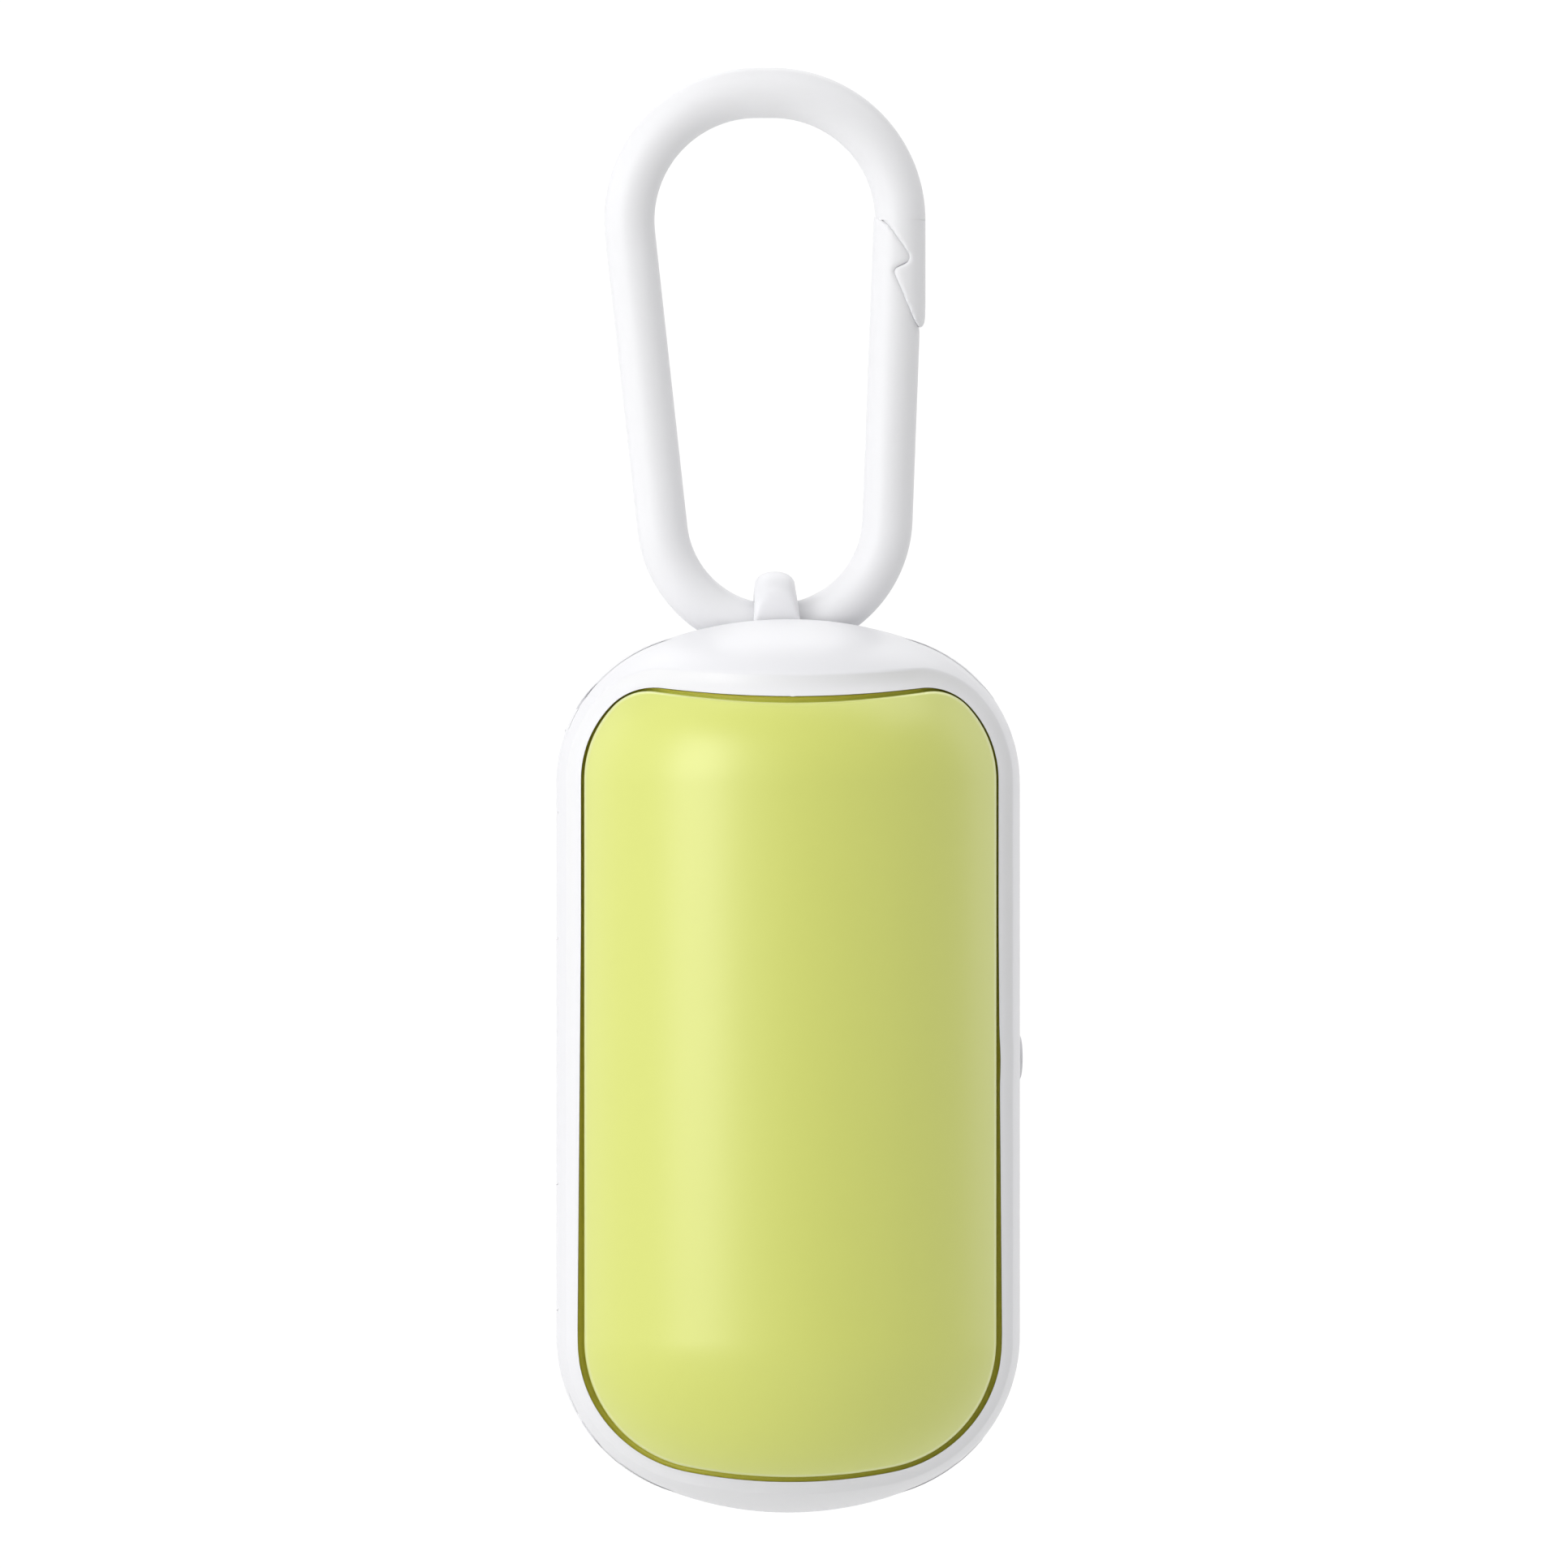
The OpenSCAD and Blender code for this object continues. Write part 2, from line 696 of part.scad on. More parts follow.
module latch_spring() {
    translate([spring_x0 + spring_wire / 2, button_y, button_z]) rotate([0, 90, 0])
        wound_wire(spring_at, spring_mean_r, spring_slope, spring_wire);
}

module latch_bracket() {
    end_z = boss_dz + boss_r;
    difference() {
        block([bracket_x0, bracket_y[0], button_z - end_z],
              [bracket_x1, bracket_y[1], button_z + end_z]);
        screw_bores(screw_r + 0.15, far);
    }
}

module latch_screws() {
    for (side = [-1, 1]) translate([0, boss_y, button_z + side * boss_dz]) {
        along_x(bracket_x0 - screw_head_t - 0.02) cylinder(r = screw_head_r, h = screw_head_t);
        along_x(bracket_x0 - screw_head_t / 2) cylinder(r = screw_r, h = screw_l);
    }
}

// Soft mouth, clamped behind the wall by a frame on two stakes
module bag_mouth() {
    difference() {
        union() {
            intersection() {
                skin(lip_proud, -wall - 0.3);
                mouth_prism(mouth_outer_w - 2 * fit, mouth_outer_h - 2 * fit);
            }
            intersection() {
                skin(-wall - fit, -wall - mouth_flange_t);
                mouth_prism(mouth_outer_w + 2 * mouth_flange, mouth_outer_h + 2 * mouth_flange);
            }
        }
        mouth_prism(mouth_w, mouth_h);
    }
}

module mouth_clamp() {
    difference() {
        intersection() {
            skin(-wall - mouth_flange_t - fit, -wall - mouth_flange_t - clamp_t);
            mouth_prism(mouth_outer_w + 2 * clamp_w, 2 * (stake_z + stake_r + 1.2));
        }
        mouth_prism(mouth_w + 1.6, mouth_h + 1.6);
        for (side = [-1, 1]) translate([0, far, mouth_z + side * stake_z])
            rotate([90, 0, 0]) cylinder(r = stake_r + fit, h = far);
    }
}

// Spindle: an axle with four fins, a flange under the roll and a journal at each end
module roll_spindle() {
    translate([0, 0, journal_z0]) cylinder(r = journal_r, h = journal_z1 - journal_z0);
    translate([0, 0, spindle_z0]) cylinder(r = flange_disc_r, h = flange_disc_t);
    translate([0, 0, spindle_z0]) cylinder(r = axle_r, h = spindle_z1 - spindle_z0);
    translate([0, 0, spindle_z1 - flange_disc_t]) cylinder(r = barrel_r, h = flange_disc_t);
    intersection() {
        translate([0, 0, spindle_z0]) cylinder(r = barrel_r, h = spindle_z1 - spindle_z0);
        for (a = [0, 90]) rotate([0, 0, a])
            block([-far, -fin_t / 2, 0], [far, fin_t / 2, far]);
    }
}

module tube(outer_r, inner_r, z0, l) {
    translate([0, 0, z0]) rotate_extrude() translate([inner_r, 0]) square([outer_r - inner_r, l]);
}

module roll_core() {
    tube(core_r, core_r - core_t, roll_z0, roll_l);
}

module bag_roll() {
    tube(roll_d / 2, core_r + fit, roll_z0, roll_l);
}

// Carabiner: round wire in the plane y = wire_y, drawn from bends and straight legs
module wire_bend(c, r, a0, a1) {
    translate([c[0], wire_y, c[1]]) rotate([90, 0, 0]) rotate([0, 0, a0])
        rotate_extrude(angle = a1 - a0) translate([r, 0]) circle(wire_r);
}

// Straight wire from p to q, let into the bends at its ends and finer by the splice
module wire_leg(p, q, in0, in1, r) {
    d = (q - p) / norm(q - p);
    a = p - in0 * d;
    translate([a[0], wire_y, a[1]]) rotate([0, atan2(d[0], d[1]), 0])
        cylinder(r = r, h = norm(q - p) + in0 + in1);
}

function polar(a) = [cos(a), sin(a)];
left_dir = left_c - bend_c;
left_a = atan2(left_dir[1], left_dir[0]) + acos((bend_r - top_bend_r) / norm(left_dir));

// The gate leans inward a little more than the nose, which hangs straight down
gate_lean = 2.15;
nose_l = 10.7;
gate_c = bend_c + bend_r * polar(-gate_lean);
heel_r = wire_r - 0.25;
slim_heel_r = wire_r - splice_in;
heel_gap = 0.15;
heel_step = 1;
nose_x = right_c[0] + top_bend_r;
nose_z = right_c[1];
// Interlock of nose and gate, seen from the front, from the wire's inside to its outside
tooth = [[nose_x - 3 * wire_r, nose_z + 1.2], [nose_x - 0.9 * wire_r, nose_z + 0.3],
         [nose_x - 0.7 * wire_r, nose_z - 0.2], [nose_x + 0.38 * wire_r, nose_z - 3.8],
         [nose_x - 0.36 * wire_r, nose_z - 4.7], [nose_x + 0.57 * wire_r, nose_z - 9.7],
         [nose_x + wire_r, nose_z - nose_l], [nose_x + 3 * wire_r, nose_z - nose_l - 0.6]];
nose_shift = gate_gap * [1.25, -0.25];

module front_prism(points) {
    translate([0, far / 2, 0]) rotate([90, 0, 0]) linear_extrude(far) polygon(points);
}

module heel_cylinder(r) {
    translate([gate_c[0], wire_y - far / 2, gate_c[1]]) rotate([-90, 0, 0])
        cylinder(r = r, h = far);
}

module carabiner_frame() {
    slim = wire_r - splice_in;
    difference() {
        union() {
            wire_bend(bend_c, bend_r, left_a, 360 - gate_lean);
            wire_leg(bend_c + bend_r * polar(left_a), left_c + top_bend_r * polar(left_a),
                     splice_l, splice_l, slim);
            wire_bend(left_c, top_bend_r, 90, left_a);
            wire_leg(left_c + [0, top_bend_r], right_c + [0, top_bend_r],
                     splice_l, splice_l, slim);
            wire_bend(right_c, top_bend_r, 0, 90);
            wire_leg([nose_x, nose_z - nose_l - 2], [nose_x, nose_z], 0, splice_l, slim);
        }
        front_prism([for (p = concat(tooth, [[nose_x + far, nose_z - nose_l - 3],
                     [nose_x - wire_r - 4, nose_z - nose_l - 3]])) p + nose_shift]);
        heel_cylinder(heel_r + heel_gap);
        translate([gate_c[0], wire_y, gate_c[1]]) rotate([0, gate_lean, 0])
            block([-2 * wire_r, -2 * wire_r, -heel_step], [2 * wire_r, 2 * wire_r, 5]);
    }
}

module carabiner_gate() {
    difference() {
        union() {
            translate([gate_c[0], wire_y, gate_c[1]]) rotate([0, gate_lean, 0])
                cylinder(r = wire_r, h = nose_z + 3 - gate_c[1]);
            intersection() {
                heel_cylinder(heel_r);
                translate([gate_c[0], wire_y, gate_c[1]]) rotate([0, gate_lean, 0])
                    translate([0, 0, -2 * wire_r]) cylinder(r = slim_heel_r, h = 3 * wire_r);
            }
        }
        front_prism(concat(tooth, [[nose_x + far, nose_z + 9], [nose_x - 3 * wire_r, nose_z + 9]]));
    }
}

module in_frame() {
    translate(-bight) children();
}

color("white") in_frame() back_shell();
color("white") in_frame() front_frame();
color("yellowgreen") in_frame() front_cover();
color("silver") in_frame() hinge_pin();
color("white") in_frame() latch_button();
color("silver") in_frame() latch_spring();
color("gray") in_frame() latch_bracket();
color("silver") in_frame() latch_screws();
color("olivedrab") in_frame() bag_mouth();
color("white") in_frame() mouth_clamp();
color("white") in_frame() roll_spindle();
color("tan") in_frame() roll_core();
color("dimgray") in_frame() bag_roll();
color("white") in_frame() carabiner_frame();
color("white") in_frame() carabiner_gate();
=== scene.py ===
import math

import bmesh
import bpy
import numpy as np
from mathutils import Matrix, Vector


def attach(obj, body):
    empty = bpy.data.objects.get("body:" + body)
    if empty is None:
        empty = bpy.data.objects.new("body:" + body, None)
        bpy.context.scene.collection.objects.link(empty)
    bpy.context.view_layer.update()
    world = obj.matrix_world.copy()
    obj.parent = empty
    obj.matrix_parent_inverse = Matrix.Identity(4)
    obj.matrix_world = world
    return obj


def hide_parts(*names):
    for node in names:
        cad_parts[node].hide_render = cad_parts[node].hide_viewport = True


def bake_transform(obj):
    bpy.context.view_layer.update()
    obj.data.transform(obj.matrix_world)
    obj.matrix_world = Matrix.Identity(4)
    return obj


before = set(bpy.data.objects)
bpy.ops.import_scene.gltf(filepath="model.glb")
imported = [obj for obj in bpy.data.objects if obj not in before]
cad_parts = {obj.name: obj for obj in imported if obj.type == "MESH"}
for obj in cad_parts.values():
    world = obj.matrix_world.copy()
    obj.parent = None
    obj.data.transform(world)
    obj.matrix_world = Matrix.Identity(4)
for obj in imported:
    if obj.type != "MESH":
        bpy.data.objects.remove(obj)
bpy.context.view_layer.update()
SCENE = bpy.context.scene

# ---------------------------------------------------------------- sizes, mm
# Body coordinates: the capsule's axis is x = y = 0, its lowest point is z = 0,
# and the front looks towards -Y.
MM = 0.001
# Capsule: its side's radius, its height, and the crown radius and height of each end
BODY_R, BODY_H = 22.5, 86.7
TOP_C, TOP_H = 37.0, 15.9
BASE_C, BASE_H = 32.3, 17.2
SIDE_Z0, SIDE_Z1 = BASE_H, BODY_H - TOP_H
# Points are pushed onto the skin from this stretch of the axis, and count as lying on
# the skin when they are this near to it
CORE_Z = (24, 62)
NEAR_SKIN = 0.03
# Cover seen from the front: half its width, its lowest point, its base's crown and height
HALF_W, COVER_Z = 20.1, 4.0
COVER_C, COVER_BASE_H = 56.0, 13.0
# Its top edge: the rounds of the corners, of the tips beside the dip, and of the dip
CORNER_R, TIP_R, DIP_R = 10.2, 4.9, 96.0
DIP_Z = BODY_H - 8.0
CORNER_H = 7.6
# Its thickness, the gap round it, its depth under the skin, and the round of its edge
COVER_T, GAP, SINK, COVER_EDGE_R = 1.5, 0.52, 0.2, 0.34
# The middle line that its spokes run to
SPINE_Z = (22, 60)
# Its lip: clearance from the frame, how far behind the frame's edge the floor stays,
# and how far the outer wall ends below that edge and turns out
LIP_CLEAR, LIP_BEHIND, LIP_BELOW, LIP_OUT = 0.02, 0.7, 0.12, 0.1
# Frame: depth of the cover's seat, round of the inner edge, width and curve of the
# hollowed band, and the planes where the moulding and the split begin
SEAT_DEPTH, FRAME_EDGE_R = 1.75, 0.24
BAND_W, BAND_POWER = 2.5, 2.8
JOIN_Y, REAR_Y = -3.2, -0.12
# The frame's skin lies this little over the moulding, and between these heights it
# spares the hinge's knuckles
SKIN_OVER = 0.012
HINGE_Z = (6.5, 80.5)
# Middle of the latch button
BUTTON_Z = 44.1
# Wire and its two bends, centres as x, z
WIRE_Y, WIRE_R = 5.0, 2.45
BEND_R, TOP_R = 11.0, 12.4
BEND_C = np.array([-1.2, BODY_H - 0.9 + BEND_R])
LEFT_C = BEND_C + [-1.75, 28.8]
RIGHT_C = BEND_C + [-0.15, 28.8]
# Eye: middle, thickness and bore, centre as y, z, outer radius and flat front
EYE_X, EYE_T, EYE_BORE = -1.2, 4.1, 2.9
EYE_C = np.array([5.0, BODY_H - 1.0])
EYE_R, EYE_FRONT = 5.7, 0.4
# The moulded eye gives way to the rounded one above this height
EYE_LOW = EYE_C[1] + 0.2
# The rounded eye: bend in degrees past level at both ends, how far inside the moulded
# one its sides lie, how square its section is, and how softly its front is flattened
EYE_PAST, EYE_IN, EYE_POWER, EYE_SOFT = 12, 0.08, 0.92, 0.3
# It spreads towards its foot from this far above its centre, less on the left
EYE_FLARE_H, EYE_FLARE, LEFT_SHARE = 4.2, 0.13, 0.35
# Gate's arm: its lean in degrees, its length, where its softened tip begins, and the
# points of the path that it takes
ARM_LEAN, ARM_L, TIP_FROM, ARM_POINTS = 2.15, 30.0, 16.0, 40
# The gate's skin starts this far below the bend's centre, and bends between these points
ARM_START = 4.6
# Length of the frame's nose, and the points of the path that it takes
NOSE_L, NOSE_POINTS = 12.7, 17
# Half the play between the two teeth, as x, z, and the grain and rounds of softening
PLAY = np.array([0.06, 0.02])
TIP_VOXEL, TIP_ROUNDS = 0.18, 22
# A softened tip goes back to the wire's exact round this far from the cut, over this far
ROUND_FROM, ROUND_OVER = 0.25, 0.5
# The frame's origin is the carabiner's top, inside the wire
ORIGIN = np.array([-2.15, 5.0, LEFT_C[1] + TOP_R - WIRE_R])


def place(points):
    """Body coordinates in mm to the frame in metres."""
    return (np.asarray(points, float) - ORIGIN) * MM


def in_body(points):
    """Points of the frame in metres to body coordinates in mm."""
    return np.array([tuple(p) for p in points]) / MM + ORIGIN


# ---------------------------------------------------------------- capsule
def shoulder(r, c, h):
    """Radius of the round between a side r from the axis and a crown c of height h."""
    return (c * c - (c - h) ** 2 - r * r) / (2 * (c - r))


TOP_S, BASE_S = shoulder(BODY_R, TOP_C, TOP_H), shoulder(BODY_R, BASE_C, BASE_H)


def end_radius(dz, c, s, h, g):
    """Radius at height dz above an end's start, and the outline's normal there."""
    rho0 = BODY_R - s
    a = math.atan2(rho0, c - h)
    cut = (s + g) * math.cos(a)
    low = dz <= cut
    rs = rho0 + np.sqrt(np.maximum((s + g) ** 2 - dz ** 2, 0))
    zc = dz - (h - c)
    rc = np.sqrt(np.maximum((c + g) ** 2 - zc ** 2, 0))
    rho = np.where(low, rs, rc)
    nr = np.where(low, (rs - rho0) / (s + g), rc / (c + g))
    nz = np.where(low, dz / (s + g), zc / (c + g))
    return rho, nr, nz


def radius(z, g=0.0):
    """The capsule's radius at height z, grown by g, and its outline's normal there."""
    z = np.asarray(z, float)
    top = end_radius(np.maximum(z - SIDE_Z1, 0), TOP_C, TOP_S, TOP_H, g)
    base = end_radius(np.maximum(SIDE_Z0 - z, 0), BASE_C, BASE_S, BASE_H, g)
    rho = np.where(z > SIDE_Z1, top[0], np.where(z < SIDE_Z0, base[0], BODY_R + g))
    nr = np.where(z > SIDE_Z1, top[1], np.where(z < SIDE_Z0, base[1], 1.0))
    nz = np.where(z > SIDE_Z1, top[2], np.where(z < SIDE_Z0, -base[2], 0.0))
    return rho, nr, nz


def front_y(x, z, g=0.0):
    """Where the line at x, z meets the front of the skin grown by g."""
    rho = radius(z, g)[0]
    return -np.sqrt(np.maximum(rho ** 2 - np.asarray(x, float) ** 2, 1e-6))


def capsule_normal(p):
    """The skin's exact outward normals at points on or near it."""
    rho = np.maximum(np.hypot(p[:, 0], p[:, 1]), 1e-6)
    _, nr, nz = radius(p[:, 2])
    return np.column_stack([p[:, 0] / rho * nr, p[:, 1] / rho * nr, nz])


def inside(p, g):
    """Which points lie inside the skin grown by g."""
    z = p[:, 2]
    ok = (z > -g) & (z < BODY_H + g)
    return ok & (np.hypot(p[:, 0], p[:, 1]) < radius(z, g)[0])


def to_skin(p, g=0.0):
    """Points pushed straight out from the capsule's axis onto its skin, grown by g."""
    p = np.asarray(p, float)
    c = np.zeros_like(p)
    c[:, 2] = np.clip(p[:, 2], *CORE_Z)
    d = p - c
    d /= np.linalg.norm(d, axis=1)[:, None]
    # Halved again and again between the axis and 60 mm out
    lo, hi = np.zeros(len(p)), np.full(len(p), 60.0)
    for _ in range(48):
        mid = (lo + hi) / 2
        isin = inside(c + d * mid[:, None], g)
        lo, hi = np.where(isin, mid, lo), np.where(isin, hi, mid)
    return c + d * lo[:, None]


# ---------------------------------------------------------------- cover outline
def arc_points(c, r, a0, a1, step):
    """Points of an arc without its last one: x, z and the outward normal."""
    n = max(3, int(abs(math.radians(a1 - a0)) * r / step))
    a = np.radians(np.linspace(a0, a1, n, endpoint=False))
    return np.column_stack([c[0] + r * np.cos(a), c[1] + r * np.sin(a),
                            np.cos(a), np.sin(a)])


def cover_outline(step=0.45):
    """Closed outline, anticlockwise from the bottom's middle: x, z and its normal."""
    s = shoulder(HALF_W, COVER_C, COVER_BASE_H)
    base_c = (0.0, COVER_Z + COVER_C)
    shoulder_c = (HALF_W - s, COVER_Z + COVER_BASE_H)
    a = math.degrees(math.atan2(HALF_W - s, COVER_C - COVER_BASE_H))
    corner = np.array([HALF_W - CORNER_R, DIP_Z - CORNER_H])
    dip = np.array([0.0, DIP_Z + DIP_R])
    r1, r2 = CORNER_R - TIP_R, DIP_R + TIP_R
    w = dip - corner
    l = np.linalg.norm(w)
    along = (r1 * r1 - r2 * r2 + l * l) / (2 * l)
    across = math.sqrt(r1 * r1 - along * along)
    w /= l
    tip = corner + along * w + across * np.array([w[1], -w[0]])
    t0 = math.degrees(math.atan2(*(tip - corner)[::-1]))
    t1 = math.degrees(math.atan2(*(dip - tip)[::-1]))
    n = 48
    side = np.linspace(shoulder_c[1], corner[1], n, endpoint=False)
    straight = np.column_stack([np.full(n, HALF_W), side, np.ones(n), np.zeros(n)])
    d = arc_points(dip, DIP_R, t1 - 180, -90, step)
    d[:, 2:] *= -1
    half = np.vstack([arc_points(base_c, COVER_C, -90, a - 90, step),
                      arc_points(shoulder_c, s, a - 90, 0, step), straight,
                      arc_points(corner, CORNER_R, 0, t0, step),
                      arc_points(tip, TIP_R, t0, t1, step * 0.7), d])
    end = np.array([[0.0, DIP_Z, 0.0, 1.0]])
    left = half[1:][::-1] * [-1, 1, -1, 1]
    return np.vstack([half, end, left])


OUT = cover_outline()
N = len(OUT)
OP, ON = OUT[:, :2], OUT[:, 2:]


def bump(x, middle, half):
    """Soft hill, 1 at the middle and 0 beyond half on either side."""
    t = np.clip(np.abs(x - middle) / half, 0, 1)
    return 0.5 + 0.5 * np.cos(math.pi * t)


# The cover's edge draws back over the dip and along the sides, most on the left
DIP = 0.2 * bump(OP[:, 0], 0, 15) * (OP[:, 1] > 60)
DIP += 0.18 * ON[:, 0] ** 2 + 0.06 * np.clip(-ON[:, 0], 0, 1) ** 2
# The frame's edge draws back beside the button
GAPS = GAP + 0.1 * bump(OP[:, 1], BUTTON_Z, 3.2) * (OP[:, 0] > 0)
# Depth of the band's hollow, deepest at the top, and of the gap's floor
LOW = 0.4 + 0.4 * np.clip((OP[:, 1] - 12) / 45, 0, 1)
LIP_G = -SINK - 1.1 - 0.3 * ON[:, 0] ** 2 - 0.5 * np.clip(ON[:, 1], 0, 1) ** 2


def on_front(q, g=0.0):
    """Points x, z laid on the front of the skin grown by g."""
    return np.column_stack([q[:, 0], front_y(q[:, 0], q[:, 1], g), q[:, 1]])


def loop(d, g):
    """The outline moved outward by d and laid on the skin grown by g."""
    return on_front(OP + ON * np.asarray(d, float).reshape(-1, 1), g)


# ---------------------------------------------------------------- meshes
def add_object(name, data, mat=None):
    """New object in the scene from a mesh, lamp or camera."""
    if mat:
        data.materials.append(mat)
    obj = bpy.data.objects.new(name, data)
    SCENE.collection.objects.link(obj)
    return obj


def smooth(mesh):
    for p in mesh.polygons:
        p.use_smooth = True


def cut_plane(bm, point, normal, **options):
    """Cuts all of a bmesh at the plane through a point in mm."""
    everything = bm.verts[:] + bm.edges[:] + bm.faces[:]
    bmesh.ops.bisect_plane(bm, geom=everything, plane_co=place([point])[0],
                           plane_no=normal, dist=1e-7, **options)


def new_mesh(name, verts, faces, mat, body, normals=None):
    """Smooth object from points in mm; its faces turn outward if no normals are given."""
    mesh = bpy.data.meshes.new(name)
    mesh.from_pydata(place(verts).tolist(), [], faces)
    mesh.validate()
    if normals is None:
        bm = bmesh.new()
        bm.from_mesh(mesh)
        bmesh.ops.recalc_face_normals(bm, faces=bm.faces)
        bm.to_mesh(mesh)
        bm.free()
    smooth(mesh)
    obj = add_object(name, mesh, mat)
    if normals is not None:
        mesh.normals_split_custom_set_from_vertices([tuple(n) for n in normals])
    if body:
        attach(obj, body)
    return obj


def strip_faces(rings, n):
    """Quads between consecutive closed rings of n vertices each."""
    faces = []
    for r in range(rings - 1):
        for k in range(n):
            a, b = r * n + k, r * n + (k + 1) % n
            faces.append((a, b, b + n, a + n))
    return faces


def vertex_normals(v, faces):
    """Normals of the points of a mesh of quads."""
    out = np.zeros_like(v)
    for f in faces:
        p = v[list(f)]
        n = np.cross(p[2] - p[0], p[3] - p[1])
        for i in f:
            out[i] += n
    return out / np.maximum(np.linalg.norm(out, axis=1), 1e-12)[:, None]


def facing(faces, v, strip):
    """The faces turned so that those of one strip look out of the capsule's front."""
    p = v[list(faces[N * strip])]
    if np.cross(p[1] - p[0], p[2] - p[0])[1] > 0:
        return [q[::-1] for q in faces]
    return faces


def skin_mesh(name, rings, on_skin, strip, mat):
    """Mesh of rings turned outward, with the capsule's exact normals where it is skin."""
    v = np.vstack(rings)
    faces = strip_faces(len(rings), N)
    normals, exact = vertex_normals(v, faces), capsule_normal(v)
    f = faces[N * strip]
    p = v[list(f)]
    if np.dot(np.cross(p[1] - p[0], p[2] - p[0]), exact[f[0]]) < 0:
        faces = [q[::-1] for q in faces]
        normals *= -1
    normals = np.where(np.repeat(on_skin, N)[:, None], exact, normals)
    obj = new_mesh(name, v, faces, mat, "lid", normals=normals)


# ---------------------------------------------------------------- materials
def node(nt, kind, **inputs):
    """New node with sockets or properties set by name."""
    n = nt.nodes.new(kind)
    for key, value in inputs.items():
        if key in n.inputs:
            n.inputs[key].default_value = value
        else:
            setattr(n, key, value)
    return n


def plastic(name, colour, rough, grain=0.03, grain_scale=900.0, coat=0.0,
            coat_rough=0.1, metal=0.0):
    """Moulded plastic or metal: fine grain in the bump, slight mottle in the roughness."""
    m = bpy.data.materials.new(name)
    m.use_nodes = True
    nt = m.node_tree
    b = nt.nodes["Principled BSDF"]
    b.inputs["Base Color"].default_value = (*colour, 1)
    b.inputs["Metallic"].default_value = metal
    b.inputs["Coat Weight"].default_value = coat
    b.inputs["Coat Roughness"].default_value = coat_rough
    co = node(nt, "ShaderNodeTexCoord")
    fine = node(nt, "ShaderNodeTexNoise", Scale=grain_scale, Detail=3.0)
    wide = node(nt, "ShaderNodeTexNoise", Scale=grain_scale / 9, Detail=4.0)
    nt.links.new(co.outputs["Object"], fine.inputs["Vector"])
    nt.links.new(co.outputs["Object"], wide.inputs["Vector"])
    mottle = 0.015
    ramp = node(nt, "ShaderNodeMapRange")
    ramp.inputs["To Min"].default_value = rough - mottle
    ramp.inputs["To Max"].default_value = rough + mottle
    nt.links.new(wide.outputs["Fac"], ramp.inputs["Value"])
    nt.links.new(ramp.outputs["Result"], b.inputs["Roughness"])
    relief = node(nt, "ShaderNodeBump", Strength=grain, Distance=0.0001)
    nt.links.new(fine.outputs["Fac"], relief.inputs["Height"])
    nt.links.new(relief.outputs["Normal"], b.inputs["Normal"])
    return m


def srgb(*levels):
    """Linear colour of 8-bit sRGB levels above 10."""
    return tuple(((c / 255 + 0.055) / 1.055) ** 2.4 for c in levels)


WHITE = plastic("shell_white", srgb(236, 236, 239), 0.42, coat=0.15, coat_rough=0.25)
CLIP = plastic("clip_white", srgb(238, 238, 240), 0.45)
BUTTON = plastic("button_white", srgb(234, 234, 237), 0.42)
LIME = plastic("cover_lime", (0.655, 0.70, 0.145), 0.36, grain=0.02, coat=0.7,
               coat_rough=0.31)
# Lip of the cover inside the gap: the lime turned gold-olive, painted shade of the gap
PAINTED_SHADE_LIP = plastic("cover_lip_painted_shade", (0.68, 0.66, 0.11), 0.45)
# Frame's inner edge by the gap: white tinted cream, painted bounce light from the lime cover
PAINTED_BOUNCE_EDGE = plastic("frame_edge_painted_bounce", (0.85, 0.84, 0.56), 0.42)
INNER = plastic("inner_white", srgb(226, 226, 228), 0.55)
RUBBER = plastic("mouth_rubber", srgb(176, 182, 84), 0.65, grain=0.08)
STEEL = plastic("steel", (0.62, 0.62, 0.64), 0.32, metal=1.0)
CARD = plastic("card", srgb(176, 150, 118), 0.8, grain=0.2, grain_scale=300)
FILM = plastic("film", srgb(52, 54, 58), 0.35, grain=0.1, grain_scale=200)

for nodes, mat in (
        (("back_shell",), WHITE), (("front_frame",), WHITE), (("front_cover",), LIME),
        (("latch_button",), BUTTON), (("mouth_clamp", "roll_spindle"), INNER),
        (("bag_mouth",), RUBBER), (("roll_core",), CARD), (("bag_roll",), FILM),
        (("hinge_pin", "latch_spring", "latch_bracket", "latch_screws"), STEEL),
        (("carabiner_frame", "carabiner_gate"), CLIP)):
    for name in nodes:
        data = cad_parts[name].data
        data.materials.clear()
        data.materials.append(mat)


